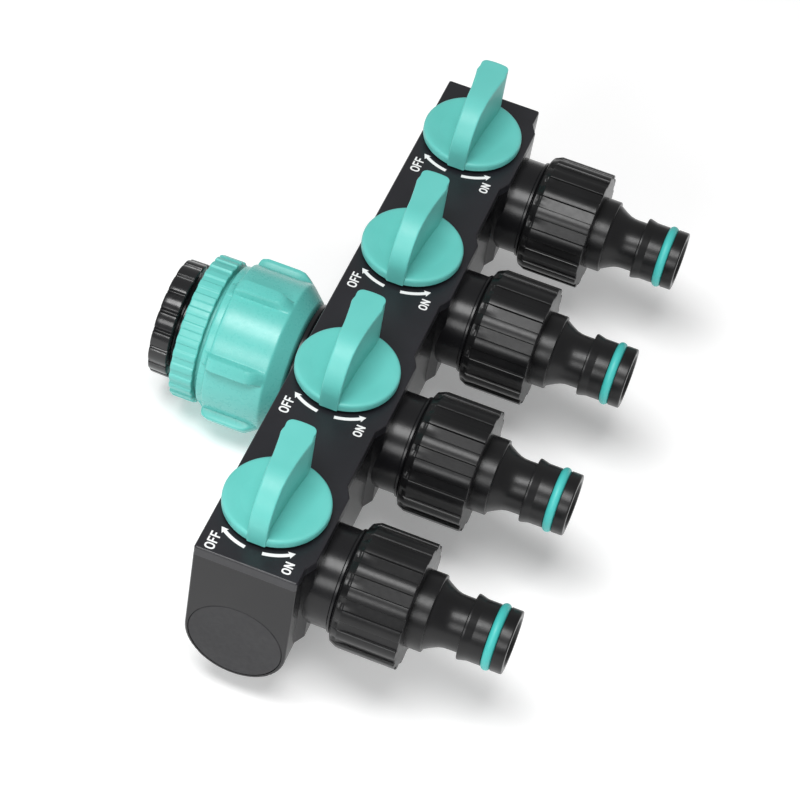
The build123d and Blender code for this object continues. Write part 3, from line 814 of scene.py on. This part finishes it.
def knob_disc():
    """The round dished disc under the bar."""
    rim = KNOB_RADIUS
    outline = [
        (KNOB_LOW, SOCKET_RADIUS),
        (KNOB_LOW, rim - 0.5, 0.1),
        (KNOB_LOW + 0.5, rim, 0.3),
        (DISC_TOP, rim, 1.1),
        (DISC_TOP - 0.12, rim - 2.2, 1.0),
        (DISC_TOP - 0.35, 9.0, 2.0),
        (DISC_TOP - 0.55, 4.0, 2.0),
        (DISC_TOP - 0.58, CENTRE_HOLE),
        (SOCKET_TOP, CENTRE_HOLE),
        (SOCKET_TOP, SOCKET_RADIUS),
    ]
    piece = turned("knob_disc", rounded(outline), even(144), plain_radius, (0, 0, 0), TEAL_KNOB)
    piece.data.transform(Matrix.Rotation(-math.pi / 2, 4, "Y"))
    return piece


def join_solids(base, extra):
    """One closed mesh from two overlapping ones; the second is deleted."""
    cut = base.modifiers.new("join", "BOOLEAN")
    cut.operation = "UNION"
    cut.solver = "MANIFOLD"
    cut.object = extra
    view = bpy.context.evaluated_depsgraph_get()
    mesh = bpy.data.meshes.new_from_object(base.evaluated_get(view))
    base.modifiers.clear()
    base.data = mesh
    bpy.data.objects.remove(extra)
    return base


knob = join_solids(knob_disc(), finger_bar())
knob.data.shade_smooth()
knob.data.set_sharp_from_angle(angle=math.radians(30))
for number in NUMBERS:
    piece = put(f"bar_knob_{number}", knob.data.copy())
    piece.data.transform(Matrix.Translation(Vector((BODY_X, VALVE_Y[number], 0)) * MM))
    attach(piece, f"valve_{number}")
    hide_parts(f"control_knob_{number}")
bpy.data.objects.remove(knob)


# -------------------------------------------------------------- printed marks
INK = 0.03  # height above the cover
INK_SUNK = 0.05  # depth below its top
ARC_RADIUS = 14.7
ARC_WIDTH = 0.95
ARC_TURNS = (8.7, 34.5)  # degrees, like the next two
HEAD_START = 34.0
HEAD_TIP = 40.5
HEAD_HALF = 1.05
LETTER_SHARES = {"O": 1.05, "N": 1.0, "F": 0.82}
LETTER_GAP = 0.3
STROKE = 0.42
O_SQUARENESS = 0.8
F_ARM = 0.88
N_SLOPE = 2.3


def ink(name, outlines, place):
    """Flat printed shapes a hair thick. Each is an outline in (x, y), or a pair of rings."""
    points = []
    faces = []
    for outline in outlines:
        rings = outline if isinstance(outline, tuple) else (outline,)
        start = len(points)
        count = len(rings[0])
        for ring in rings:
            points += [(x + place[0], y + place[1], COVER_TOP + INK) for x, y in ring]
            points += [(x + place[0], y + place[1], COVER_TOP - INK_SUNK) for x, y in ring]
        for n in range(len(rings)):
            top = start + 2 * count * n
            for k in range(count):
                m = (k + 1) % count
                faces.append((top + k, top + count + k, top + count + m, top + m))
        if len(rings) == 1:
            faces.append(tuple(range(start, start + count)))
            faces.append(tuple(range(start + 2 * count - 1, start + count - 1, -1)))
            continue
        inner = start + 2 * count
        for k in range(count):
            m = (k + 1) % count
            faces.append((start + k, start + m, inner + m, inner + k))
            faces.append((start + count + k, inner + count + k, inner + count + m, start + count + m))
    piece = new_object(name, points, faces, WHITE_INK, 20)
    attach(piece, "housing")


def on_arc(radius, degrees, side):
    """A point on the arrows' circle, measured from the heel's direction."""
    turn = math.radians(degrees)
    return (side * radius * math.sin(turn), -radius * math.cos(turn))


def arrow(side):
    """A curved arrow beside the knob: side +1 towards +X, -1 towards -X."""
    inner = ARC_RADIUS - ARC_WIDTH / 2
    outer = ARC_RADIUS + ARC_WIDTH / 2
    turns = np.linspace(*ARC_TURNS, 13)
    outline = [on_arc(outer, t, side) for t in turns]
    outline.append(on_arc(ARC_RADIUS + HEAD_HALF, HEAD_START, side))
    outline.append(on_arc(ARC_RADIUS, HEAD_TIP, side))
    outline.append(on_arc(ARC_RADIUS - HEAD_HALF, HEAD_START, side))
    outline += [on_arc(inner, t, side) for t in reversed(turns)]
    return [outline]


def letter(kind, width, height, weight):
    """A plain block letter as an outline in (across, up), or a pair of rings."""
    if kind == "O":
        rings = []
        for edge in (0, weight):
            rx = width / 2 - edge
            ry = height / 2 - edge
            ring = []
            for turn in even(36):
                c = math.copysign(abs(math.cos(turn)) ** O_SQUARENESS, math.cos(turn))
                v = math.copysign(abs(math.sin(turn)) ** O_SQUARENESS, math.sin(turn))
                ring.append((width / 2 + rx * c, height / 2 + ry * v))
            rings.append(ring)
        return tuple(rings)
    if kind == "F":
        low = height * 0.5 - weight / 2
        high = height * 0.5 + weight / 2
        arm = width * F_ARM
        return [(0, 0), (weight, 0), (weight, low), (arm, low), (arm, high), (weight, high),
                (weight, height - weight), (width, height - weight), (width, height), (0, height)]
    drop = weight * N_SLOPE
    return [(0, 0), (weight, 0), (weight, height - drop), (width - weight, 0), (width, 0), (width, height),
            (width - weight, height), (width - weight, drop), (weight, height), (0, height)]


def word(text, start_y, end_y, foot_x, height, weight):
    """A word that reads along +Y with the tops of its letters towards -X."""
    total = sum(LETTER_SHARES[c] for c in text)
    unit = (end_y - start_y - LETTER_GAP * (len(text) - 1)) / total
    shapes = []
    along = start_y
    for c in text:
        shape = letter(c, unit * LETTER_SHARES[c], height, weight)
        rings = shape if isinstance(shape, tuple) else (shape,)
        placed = tuple([(foot_x - up, along + across) for across, up in ring] for ring in rings)
        shapes.append(placed if len(placed) > 1 else placed[0])
        along += unit * LETTER_SHARES[c] + LETTER_GAP
    return shapes


for number in NUMBERS:
    place = (BODY_X, VALVE_Y[number])
    ink(f"arrow_open_{number}", arrow(1), place)
    ink(f"arrow_shut_{number}", arrow(-1), place)
    ink(f"mark_open_{number}", word("ON", -17.85, -14.2, 10.6, 2.35, STROKE), place)
    ink(f"mark_shut_{number}", word("OFF", -18.7, -13.3, -8.6, 2.6, STROKE), place)


# ------------------------------------------------------ camera, floor and light
CAMERA_ANGLES = (12.05, 48.44, 11.06)  # azimuth, elevation and roll, in degrees
CAMERA_DISTANCE = 782.04
CAMERA_AIM = (65.28, 0.67, GALLERY_Z)
FOCAL_PIXELS = 2971.88  # for a picture 800 pixels wide
PICTURE_PIXELS = 800
SENSOR = 36.0
CAMERA_REACH = (0.05, 10)  # metres
LIGHT_AIM = (0.055, 0, 0.02)  # metres
FLOOR_GAP = 0.3
FLOOR_REACH = 3000
FLOOR_GLOW = 0.2
SKY_STRENGTH = 0.35


def camera():
    """The photograph's viewpoint."""
    azimuth, elevation, roll = np.radians(CAMERA_ANGLES)
    forward = np.array([
        -math.sin(azimuth) * math.cos(elevation),
        math.cos(azimuth) * math.cos(elevation),
        -math.sin(elevation),
    ])
    right = np.array([math.cos(azimuth), math.sin(azimuth), 0.0])
    up = np.cross(right, forward)
    level_right = math.cos(roll) * right + math.sin(roll) * up
    level_up = -math.sin(roll) * right + math.cos(roll) * up
    place = np.array(CAMERA_AIM) * MM - forward * CAMERA_DISTANCE * MM
    data = bpy.data.cameras.new("camera")
    data.sensor_width = SENSOR
    data.lens = FOCAL_PIXELS / PICTURE_PIXELS * SENSOR
    data.clip_start, data.clip_end = CAMERA_REACH
    item = put("camera", data)
    turn = Matrix((level_right, level_up, -forward)).transposed().to_4x4()
    item.matrix_world = Matrix.Translation(Vector(place)) @ turn
    bpy.context.scene.camera = item


def soft_box(name, place, width, height, power):
    """A rectangular studio light, in metres and watts, turned to the part."""
    data = bpy.data.lights.new(name, "AREA")
    data.shape = "RECTANGLE"
    data.size = width
    data.size_y = height
    data.energy = power
    item = put(name, data)
    item.location = place
    item.rotation_euler = (Vector(LIGHT_AIM) - Vector(place)).to_track_quat("-Z", "Y").to_euler()


def floor():
    """A wide pale floor just under the part."""
    material, tree, shader = node_graph("pale_floor")
    tone = two_tone(tree, noise(tree, 3), (0.90, 0.90, 0.90), (0.93, 0.93, 0.93))
    tree.links.new(tone, shader.inputs["Base Color"])
    shader.inputs["Roughness"].default_value = 0.9
    shader.inputs["Emission Color"].default_value = (1, 1, 1, 1)
    shader.inputs["Emission Strength"].default_value = FLOOR_GLOW
    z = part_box("swivel_nut")[0].z / MM - FLOOR_GAP
    points = [(x * FLOOR_REACH, y * FLOOR_REACH, z) for x, y in ((-1, -1), (1, -1), (1, 1), (-1, 1))]
    plane = new_object("floor", points, [(0, 1, 2, 3)], material)


def sky(strength):
    """An even white surround."""
    world = bpy.data.worlds.new("studio")
    world.use_nodes = True
    back = world.node_tree.nodes["Background"]
    back.inputs["Color"].default_value = (1, 1, 1, 1)
    back.inputs["Strength"].default_value = strength
    bpy.context.scene.world = world


camera()
floor()
sky(SKY_STRENGTH)
soft_box("top_box", (0.0, -0.25, 0.75), 0.5, 0.28, 4.8)
soft_box("front_box", (-0.05, -0.85, 0.50), 0.6, 0.28, 3.2)
bpy.context.scene.view_settings.view_transform = "Standard"
